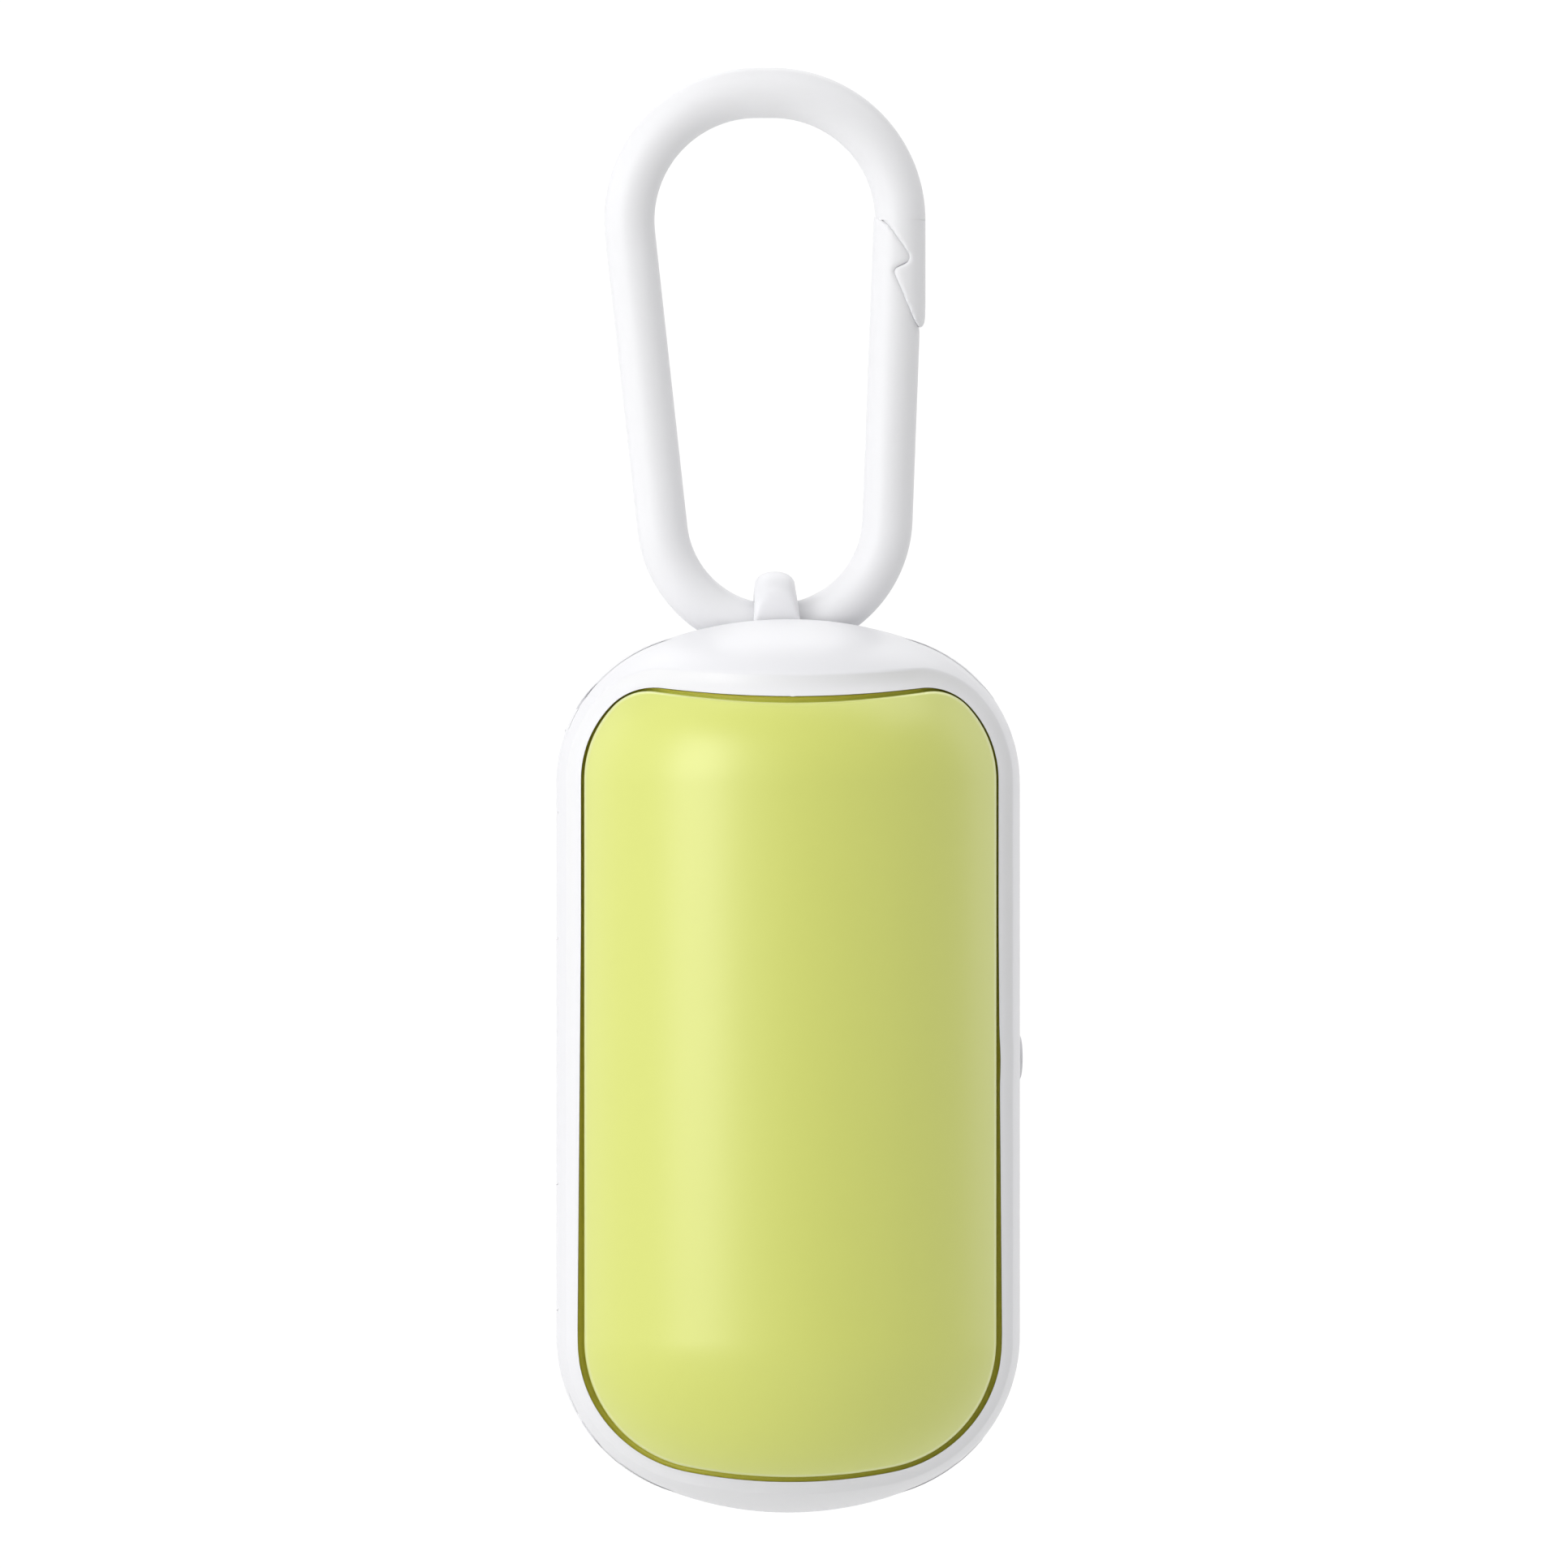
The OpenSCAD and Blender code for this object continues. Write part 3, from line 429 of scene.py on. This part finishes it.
# ---------------------------------------------------------------- copies of CAD pieces
def cad_copy(node_name, name, mat, body, drop, plane=None):
    """Copy of a CAD piece cut at a plane, without the faces that drop(centres) names."""
    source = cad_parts[node_name]
    mesh = source.data.copy()
    mesh.transform(source.matrix_world)
    bm = bmesh.new()
    bm.from_mesh(mesh)
    bmesh.ops.remove_doubles(bm, verts=bm.verts, dist=1e-7)
    if plane:
        cut_plane(bm, *plane)
    gone = drop(in_body(f.calc_center_median() for f in bm.faces))
    bmesh.ops.delete(bm, geom=[f for f, g in zip(bm.faces, gone) if g], context="FACES")
    sharp = math.radians(24)
    for e in bm.edges:
        e.smooth = len(e.link_faces) != 2 or e.calc_face_angle() < sharp
    for f in bm.faces:
        f.smooth = True
    clean = bpy.data.meshes.new(name)
    bm.to_mesh(clean)
    bm.free()
    # Corners of faces that lie on the skin get the skin's exact normal
    co = in_body(q.co for q in clean.vertices)
    exact = capsule_normal(co)
    on = inside(co, NEAR_SKIN) & ~inside(co, -NEAR_SKIN)
    normals = [tuple(n.vector) for n in clean.corner_normals]
    for p in clean.polygons:
        if all(on[i] for i in p.vertices):
            if np.dot(exact[p.vertices[0]], p.normal) > 0.9:
                for c in p.loop_indices:
                    normals[c] = tuple(exact[clean.loops[c].vertex_index])
    clean.normals_split_custom_set(normals)
    obj = add_object(name, clean, mat)
    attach(obj, body)
    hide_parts(node_name)


# ---------------------------------------------------------------- cover
def build_cover():
    r, wall, margin = COVER_EDGE_R, 0.1, 0.05
    # Spokes from the outline to the middle line, every vertex on the skin
    mid = np.column_stack([np.zeros(N), np.clip(OP[:, 1], *SPINE_Z)])
    edge = OP - ON * (r + DIP)[:, None]
    spokes = [on_front(edge * (1 - t) + mid * t, -SINK)
              for t in np.linspace(0, 1, 40)[::-1]]
    # The round of its edge, and a short wall behind it
    turn = [loop(-DIP - r + r * math.sin(a), -SINK - r * (1 - math.cos(a)))
            for a in np.radians(np.linspace(0, 90, 10)[1:])]
    turn.append(loop(-DIP, -SINK - r - wall))
    on_skin = [True] * len(spokes) + [False] * len(turn)
    skin_mesh("cover_skin", spokes + turn, on_skin, 5, LIME)
    # Low on its edge the cover has a lip: the floor of the gap and its outer wall
    # The lip's gold-olive material is painted shade that stands for the dim gap
    outer, top = GAPS - LIP_CLEAR, -LOW - LIP_BELOW
    path = ((-DIP, -SINK - r), (-DIP, LIP_G), (outer, LIP_G), (outer, top),
            (GAPS + LIP_OUT, top))
    v = [loop(d, g) for d, g in path]
    v[2][:, 1] = np.maximum(v[1][:, 1], loop(GAPS, -LOW)[:, 1] + LIP_BEHIND)
    v = np.vstack(v)
    lip = new_mesh("cover_lip_painted_shade", v, facing(strip_faces(len(path), N), v, 1), PAINTED_SHADE_LIP, "lid")
    # Behind the skin, the cover's back and its hooks stay as they were built
    cad_copy("front_cover", "cover_back", LIME, "lid",
             lambda c: ~inside(c, margin - SINK - COVER_T))


# ---------------------------------------------------------------- front frame
def band_width():
    """Width of the band as seen from the front, where the skin slopes away."""
    step = 0.05
    base = OP + ON * GAPS[:, None]
    y0, y1 = (front_y(q[:, 0], q[:, 1]) for q in (base, base + ON * step))
    return BAND_W / np.sqrt(1 + ((y1 - y0) / step) ** 2)


def build_frame():
    r, w = FRAME_EDGE_R, band_width()
    # The frame's inner edge and its round carry the cream tint of painted bounce light from
    # the cover
    path = [(GAPS, -SEAT_DEPTH), (GAPS, -LOW - r)]
    path += [(GAPS + r * (1 - math.cos(a)), -LOW - r + r * math.sin(a))
             for a in np.radians(np.linspace(0, 90, 8)[1:])]
    v = np.vstack([loop(d, g) for d, g in path])
    edge = new_mesh("frame_edge_painted_bounce", v, facing(strip_faces(len(path), N), v, 4), PAINTED_BOUNCE_EDGE, "lid")
    band = [v[-N:]]
    # Hollowed band, steepest just inside the crease
    for t in np.linspace(0, 1, 17)[1:]:
        flat = on_front(OP + ON * (GAPS + r + (w - r) * t)[:, None])
        depth = LOW * (1 - t ** BAND_POWER)
        band.append(flat - capsule_normal(flat) * depth[:, None])
    # Out over the skin and back to the split, but beside the hinge only to the plane
    # where the moulding's own surface goes on
    crease = band[-1]
    side = to_skin(crease * [1, 0, 1])
    hinge = (side[:, 0] < 0) & (side[:, 2] > HINGE_Z[0]) & (side[:, 2] < HINGE_Z[1])
    end = np.where(hinge, JOIN_Y, REAR_Y)
    lo, hi = np.zeros(N), np.ones(N)
    for _ in range(30):
        mid = (lo + hi) / 2
        front = to_skin(crease + (side - crease) * mid[:, None])[:, 1] < end
        lo, hi = np.where(front, mid, lo), np.where(front, hi, mid)
    skin = [to_skin(crease + (side - crease) * (lo * t)[:, None],
                    SKIN_OVER * min(1.0, max(0.0, (t - 0.3) / 0.3)))
            for t in np.linspace(0, 1, 33)[1:]]
    on_skin = [False] * len(band) + [True] * len(skin)
    skin_mesh("frame_skin", band + skin, on_skin, len(on_skin) - 8, WHITE)

    def outside(c):
        margin = 0.02
        return (c[:, 1] < JOIN_Y) & ~inside(c, margin - SEAT_DEPTH)
    cad_copy("front_frame", "frame_moulding", WHITE, "lid", outside,
             ((0, JOIN_Y, 0), (0, 1, 0)))


# ---------------------------------------------------------------- back shell and eye
def build_eye():
    """The eye as one rounded bar bent over the wire, flattened at the split."""
    def power(v):
        return math.copysign(abs(v) ** EYE_POWER, v)
    rings, sides = 60, 48
    mid_r, half_t = (EYE_R + EYE_BORE) / 2, (EYE_R - EYE_BORE) / 2
    v = []
    for a in np.radians(np.linspace(-EYE_PAST, 180 + EYE_PAST, rings)):
        for b in 2 * math.pi * np.arange(sides) / sides:
            u, w = power(math.cos(b)), power(math.sin(b))
            r = mid_r + half_t * w
            y, z = EYE_C[0] - r * math.cos(a), EYE_C[1] + r * math.sin(a)
            flare = EYE_FLARE * max(0.0, EYE_C[1] + EYE_FLARE_H - z)
            half = EYE_T / 2 - EYE_IN + flare * (1 if u > 0 else LEFT_SHARE)
            bent = math.exp(min((y - EYE_FRONT) / EYE_SOFT, 60))
            v.append((EYE_X + half * u, EYE_FRONT + EYE_SOFT * math.log1p(bent), z))
    obj = new_mesh("eye_skin", np.array(v), strip_faces(rings, sides), WHITE, "housing")


def build_back():
    def eye_faces(c):
        near = np.hypot(c[:, 1] - EYE_C[0], c[:, 2] - EYE_C[1]) < EYE_R + 0.05
        between = np.abs(c[:, 0] - EYE_X) < EYE_T / 2 + 0.03
        return near & between & (c[:, 2] > EYE_LOW)
    cad_copy("back_shell", "back_moulding", WHITE, "housing", eye_faces,
             ((0, 0, EYE_LOW), (0, 0, 1)))


# ---------------------------------------------------------------- carabiner
def direction(a):
    """Unit vector x, z at an angle in radians."""
    return np.array([math.cos(a), math.sin(a)])


def arc(c, r, a0, a1, n):
    """Points x, z of an arc with both its ends, in degrees."""
    return [c + r * direction(a) for a in np.radians(np.linspace(a0, a1, n))]


def wire_path():
    """Centreline points of the whole wire, from the gate's tip down, round and up."""
    lean = math.radians(-ARM_LEAN)
    root = BEND_C + BEND_R * direction(lean)
    up = np.array([math.sin(-lean), math.cos(lean)])
    pts = [root + up * s for s in np.linspace(ARM_L, 0, ARM_POINTS, endpoint=False)]
    # The straight side on the left touches both bends
    v = LEFT_C - BEND_C
    touch = math.atan2(v[1], v[0]) + math.acos((BEND_R - TOP_R) / np.linalg.norm(v))
    left = math.degrees(touch)
    pts += arc(BEND_C, BEND_R, -ARM_LEAN, left - 360, 72)
    low, high = BEND_C + BEND_R * direction(touch), LEFT_C + TOP_R * direction(touch)
    pts += [low * (1 - t) + high * t for t in np.linspace(0, 1, 40)[1:-1]]
    pts += arc(LEFT_C, TOP_R, left, 90, 40) + arc(RIGHT_C, TOP_R, 90, 0, 40)
    pts += [RIGHT_C + [TOP_R, -s] for s in np.linspace(0, NOSE_L, NOSE_POINTS + 1)[1:]]
    return np.array(pts)


def tangents(path):
    t = np.gradient(path, axis=0)
    return t / np.linalg.norm(t, axis=1)[:, None]


def tube(path, t, caps=False, sides=64):
    """Round tube in the plane y = WIRE_Y along a path of x, z points with tangents t."""
    v, nrm = [], []
    for p, m in zip(path, np.column_stack([t[:, 1], -t[:, 0]])):
        for a in 2 * math.pi * np.arange(sides) / sides:
            d = np.array([m[0] * math.cos(a), math.sin(a), m[1] * math.cos(a)])
            v.append(np.array([p[0], WIRE_Y, p[1]]) + WIRE_R * d)
            nrm.append(d)
    faces = strip_faces(len(path), sides)
    if caps:
        faces.append(tuple(range(sides))[::-1])
        last = (len(path) - 1) * sides
        faces.append(tuple(range(last, last + sides)))
    return np.array(v), faces, np.array(nrm)


PATH = wire_path()
# The line between the two teeth, seen from the front, as x, z: from the left over the
# gate's hook, down its slope and out to the right under the frame's nose
TOOTH = np.array([[8.0, 126.3], [9.3, 125.55], [9.75, 125.2], [11.85, 122.3],
                  [11.95, 121.85], [11.7, 121.45], [10.5, 120.95], [10.3, 120.6],
                  [12.3, 116.1], [12.6, 115.55], [12.8, 115.2], [13.0, 115.06],
                  [13.15, 115.08], [13.32, 115.25], [13.44, 115.6], [13.7, 116.6],
                  [16, 116.7]])
# Corners that close the line to a prism round the gate's half, or round the nose's half
GATE_SIDE = ((16, 90), (-10, 90), (-10, 126.3))
NOSE_SIDE = ((30, 116.7), (30, 135), (8.0, 135))
PRISM_Y = (-2.0, 12.0)


def tooth_distance(p):
    """Distance of points x, z from the line between the teeth."""
    best = np.full(len(p), 1e9)
    for a, b in zip(TOOTH[:-1], TOOTH[1:]):
        d = b - a
        t = np.clip(((p - a) @ d) / (d @ d), 0, 1)
        best = np.minimum(best, np.linalg.norm(p - a - t[:, None] * d, axis=1))
    return best


def apply_modifiers(obj):
    bpy.context.view_layer.update()
    deps = bpy.context.evaluated_depsgraph_get()
    mesh = bpy.data.meshes.new_from_object(obj.evaluated_get(deps))
    obj.modifiers.clear()
    obj.data = mesh


def cut_away(obj, outline):
    """Cuts a prism along Y with the outline's x, z points out of obj."""
    n = len(outline)
    v = [(x, y, z) for y in PRISM_Y for x, z in outline]
    f = [tuple(range(n)), tuple(range(2 * n - 1, n - 1, -1))]
    f += [(k, (k + 1) % n, n + (k + 1) % n, n + k) for k in range(n)]
    cut = new_mesh("cutter", np.array(v), f, CLIP, None)
    m = obj.modifiers.new("cut", "BOOLEAN")
    m.operation, m.solver, m.object = "DIFFERENCE", "EXACT", cut
    apply_modifiers(obj)
    bpy.data.objects.remove(cut)


def soften(obj):
    """Rounds the edges of a cut piece by a fine remesh and smoothing."""
    m = obj.modifiers.new("remesh", "REMESH")
    m.mode, m.voxel_size, m.use_smooth_shade = "VOXEL", TIP_VOXEL * MM, True
    s = obj.modifiers.new("smooth", "SMOOTH")
    s.factor, s.iterations = 0.5, TIP_ROUNDS
    apply_modifiers(obj)


def tip_piece(name, a, b, cutter, body):
    """The wire from a to b without the cutter's prism, softened, and open at a."""
    length = np.linalg.norm(b - a)
    d = (b - a) / length
    path = np.array([a - 1.5 * d, b])
    v, f, _ = tube(path, tangents(path), caps=True)
    obj = new_mesh(name, v, f, CLIP, None)
    cut_away(obj, cutter)
    soften(obj)
    bm = bmesh.new()
    bm.from_mesh(obj.data)
    cut_plane(bm, (a[0], WIRE_Y, a[1]), (d[0], 0, d[1]), clear_inner=True)
    co = in_body(q.co for q in bm.verts)
    s = (co[:, [0, 2]] - a) @ d
    axis = a + s[:, None] * d
    centre = np.column_stack([axis[:, 0], np.full(len(co), WIRE_Y), axis[:, 1]])
    r = co - centre
    l = np.maximum(np.linalg.norm(r, axis=1), 1e-6)
    # Away from the cut, every vertex goes back onto the exact round of the wire
    near = (l > WIRE_R - 0.15) & (s < length - 0.3)
    away = (tooth_distance(co[:, [0, 2]]) - ROUND_FROM) / ROUND_OVER
    w = (np.clip(away, 0, 1) * near)[:, None]
    l = l[:, None]
    for q, c in zip(bm.verts, place(centre + r * (1 + (WIRE_R / l - 1) * w))):
        q.co = c
    bm.normal_update()
    soft = np.array([tuple(q.normal) for q in bm.verts])
    bm.to_mesh(obj.data)
    bm.free()
    smooth(obj.data)
    mixed = soft * (1 - w) + r / l * w
    mixed /= np.linalg.norm(mixed, axis=1)[:, None]
    obj.data.normals_split_custom_set_from_vertices([tuple(n) for n in mixed])
    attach(obj, body)


def build_carabiner():
    # The gate's arm is one wire with the frame: its skin starts below the hinge
    t = tangents(PATH)
    start = next(i for i, p in enumerate(PATH) if p[1] < BEND_C[1] - ARM_START)
    base, up = PATH[ARM_POINTS], -t[3]
    tip_low, tip_high = base + up * TIP_FROM, base + up * ARM_L
    bend = slice(ARM_POINTS, start + 1)
    arm = np.vstack([np.linspace(tip_low, base, 30, endpoint=False), PATH[bend]])
    v, f, n = tube(arm, np.vstack([np.repeat(-up[None], 30, axis=0), t[bend]]))
    gate = new_mesh("gate_skin", v, f, CLIP, None, normals=n)
    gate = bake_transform(gate)
    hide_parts("carabiner_gate")
    nose = RIGHT_C + [TOP_R, 0]
    # Each half of the interlock loses what lies on the other's side of the line
    tip_piece("gate_tip", tip_low, tip_high, [*(TOOTH + PLAY), *NOSE_SIDE], "gate")
    tip_piece("nose_tip", nose, nose - [0, NOSE_L], [*(TOOTH - PLAY), *GATE_SIDE],
              "carabiner")
    rest = slice(start, len(PATH) - NOSE_POINTS)
    v, f, n = tube(PATH[rest], t[rest])
    main = new_mesh("carabiner_skin", v, f, CLIP, "carabiner", normals=n)
    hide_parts("carabiner_frame")


build_cover()
build_frame()
build_back()
build_eye()
build_carabiner()

# ---------------------------------------------------------------- floor, light, camera
SCENE.view_settings.view_transform = "Standard"
# The middle of the picture, the camera's distance in metres, its turn in degrees, and
# the width that it shows
TARGET = place([[-0.394, 0.0, 70.70]])[0]
CAMERA_DIST, CAMERA_TURN, SHOWN_W = 1.6, 1.2, 0.15224
# The lamps' aim and their distance in metres
AIM = place([[0, 0, 60.0]])[0]
PANEL_DIST = 1.0
# Level of the surroundings, apart from the rays that show the background
AMBIENT = 0.43
# Paper: depth of the floor under the capsule, its front edge, where it starts to rise,
# the round of the rise, the wall's top and half its width, in metres
FLOOR_DROP, FLOOR_FRONT, FLOOR_BACK, SWEEP_R = 0.02, -1.2, 0.5, 0.35
WALL_TOP, HALF_PAPER = 1.6, 2.0
# Lamps: name, azimuth and elevation in degrees, size in metres, brightness
PANELS = (
    ("left_back", -110, 5, (0.34, 1.1), 0.6),
    ("left", -88, 5, (0.34, 1.1), 0.42),
    ("left_front", -70, 5, (0.26, 1.1), 0.4),
    ("key_left", -55, 5, (0.26, 1.1), 2.6),
    ("key", -40, 5, (0.26, 1.1), 2.6),
    ("key_right", -25, 5, (0.26, 1.1), 0.6),
    ("front", -10, 5, (0.26, 1.1), 0.22),
    ("right", 108, 5, (0.4, 1.1), 0.46),
    ("top", -10, 75, (0.9, 0.5), 0.68),
    ("top_left", -80, 55, (0.6, 0.6), 0.38),
    ("top_right", 80, 55, (0.6, 0.6), 0.95),
    ("back", 180, 45, (0.9, 0.6), 0.77),
)


def seen(nt):
    """1 for the rays that show the background: camera, glossy and transmission rays."""
    path = node(nt, "ShaderNodeLightPath")
    out = path.outputs["Is Camera Ray"]
    for kind in ("Is Glossy Ray", "Is Transmission Ray"):
        either = node(nt, "ShaderNodeMath", operation="MAXIMUM")
        nt.links.new(out, either.inputs[0])
        nt.links.new(path.outputs[kind], either.inputs[1])
        out = either.outputs[0]
    return out


def paper():
    """Pale paper that shows as white, with a faint shadow left on it."""
    m = bpy.data.materials.new("paper")
    m.use_nodes = True
    nt = m.node_tree
    card = nt.nodes["Principled BSDF"]
    card.inputs["Base Color"].default_value = (0.8, 0.8, 0.8, 1)
    card.inputs["Roughness"].default_value = 0.6
    card.inputs["Specular IOR Level"].default_value = 0.1
    # Where it is lit in full, this sum is white
    matt = node(nt, "ShaderNodeBsdfDiffuse", Color=(0.12, 0.12, 0.12, 1))
    glow = node(nt, "ShaderNodeEmission", Color=(1, 1, 1, 1), Strength=0.94)
    both = node(nt, "ShaderNodeAddShader")
    nt.links.new(matt.outputs[0], both.inputs[0])
    nt.links.new(glow.outputs[0], both.inputs[1])
    mix = node(nt, "ShaderNodeMixShader")
    nt.links.new(seen(nt), mix.inputs[0])
    nt.links.new(card.outputs[0], mix.inputs[1])
    nt.links.new(both.outputs[0], mix.inputs[2])
    # Seen from behind it isn't there, so that the back can be looked at
    clear = node(nt, "ShaderNodeBsdfTransparent")
    side = node(nt, "ShaderNodeNewGeometry")
    sheet = node(nt, "ShaderNodeMixShader")
    nt.links.new(side.outputs["Backfacing"], sheet.inputs[0])
    nt.links.new(mix.outputs[0], sheet.inputs[1])
    nt.links.new(clear.outputs[0], sheet.inputs[2])
    nt.links.new(sheet.outputs[0], nt.nodes["Material Output"].inputs["Surface"])
    return m


def build_stage():
    """Sweep of pale paper: floor, a wide curve and a wall behind, shown white."""
    z0 = float(place([[0, 0, 0.0]])[0][2]) - FLOOR_DROP
    curve = [(FLOOR_BACK + SWEEP_R * math.sin(a), z0 + SWEEP_R * (1 - math.cos(a)))
             for a in np.linspace(0, math.pi / 2, 24)]
    side = [(FLOOR_FRONT, z0), *curve, (FLOOR_BACK + SWEEP_R, WALL_TOP)]
    mesh = bpy.data.meshes.new("floor")
    mesh.from_pydata([(x, y, z) for y, z in side for x in (-HALF_PAPER, HALF_PAPER)], [],
                     [(2 * k, 2 * k + 1, 2 * k + 3, 2 * k + 2) for k in range(len(side) - 1)])
    smooth(mesh)
    add_object("floor", mesh, paper())


def look_at(obj, loc, target):
    obj.location = loc
    turn = (Vector(target) - obj.location).to_track_quat("-Z", "Y")
    obj.rotation_euler = turn.to_euler()


def build_light():
    world = bpy.data.worlds.new("world")
    SCENE.world = world
    world.use_nodes = True
    nt = world.node_tree
    sky = nt.nodes["Background"]
    sky.inputs["Color"].default_value = (1, 1, 1, 1)
    mix = node(nt, "ShaderNodeMapRange")
    mix.inputs["To Min"].default_value = AMBIENT
    mix.inputs["To Max"].default_value = 1.0
    nt.links.new(seen(nt), mix.inputs["Value"])
    nt.links.new(mix.outputs["Result"], sky.inputs["Strength"])
    for name, azimuth, elevation, (width, height), brightness in PANELS:
        a, e = math.radians(azimuth), math.radians(elevation)
        light = bpy.data.lights.new(name, "AREA")
        light.shape, light.size, light.size_y = "RECTANGLE", width, height
        # A lamp shows its power over four times its area
        light.energy = brightness * 4 * width * height
        out = np.array([math.sin(a) * math.cos(e), -math.cos(a) * math.cos(e), math.sin(e)])
        look_at(add_object(name, light), AIM + PANEL_DIST * out, AIM)


def build_camera():
    cam = bpy.data.cameras.new("camera")
    cam.type = "PERSP"
    cam.sensor_width = 36
    cam.lens = cam.sensor_width * CAMERA_DIST / SHOWN_W
    cam.clip_end = 20
    obj = add_object("camera", cam)
    a = math.radians(CAMERA_TURN)
    out = np.array([-math.sin(a), -math.cos(a), 0])
    look_at(obj, TARGET + CAMERA_DIST * out, TARGET)
    SCENE.camera = obj


build_stage()
build_light()
build_camera()
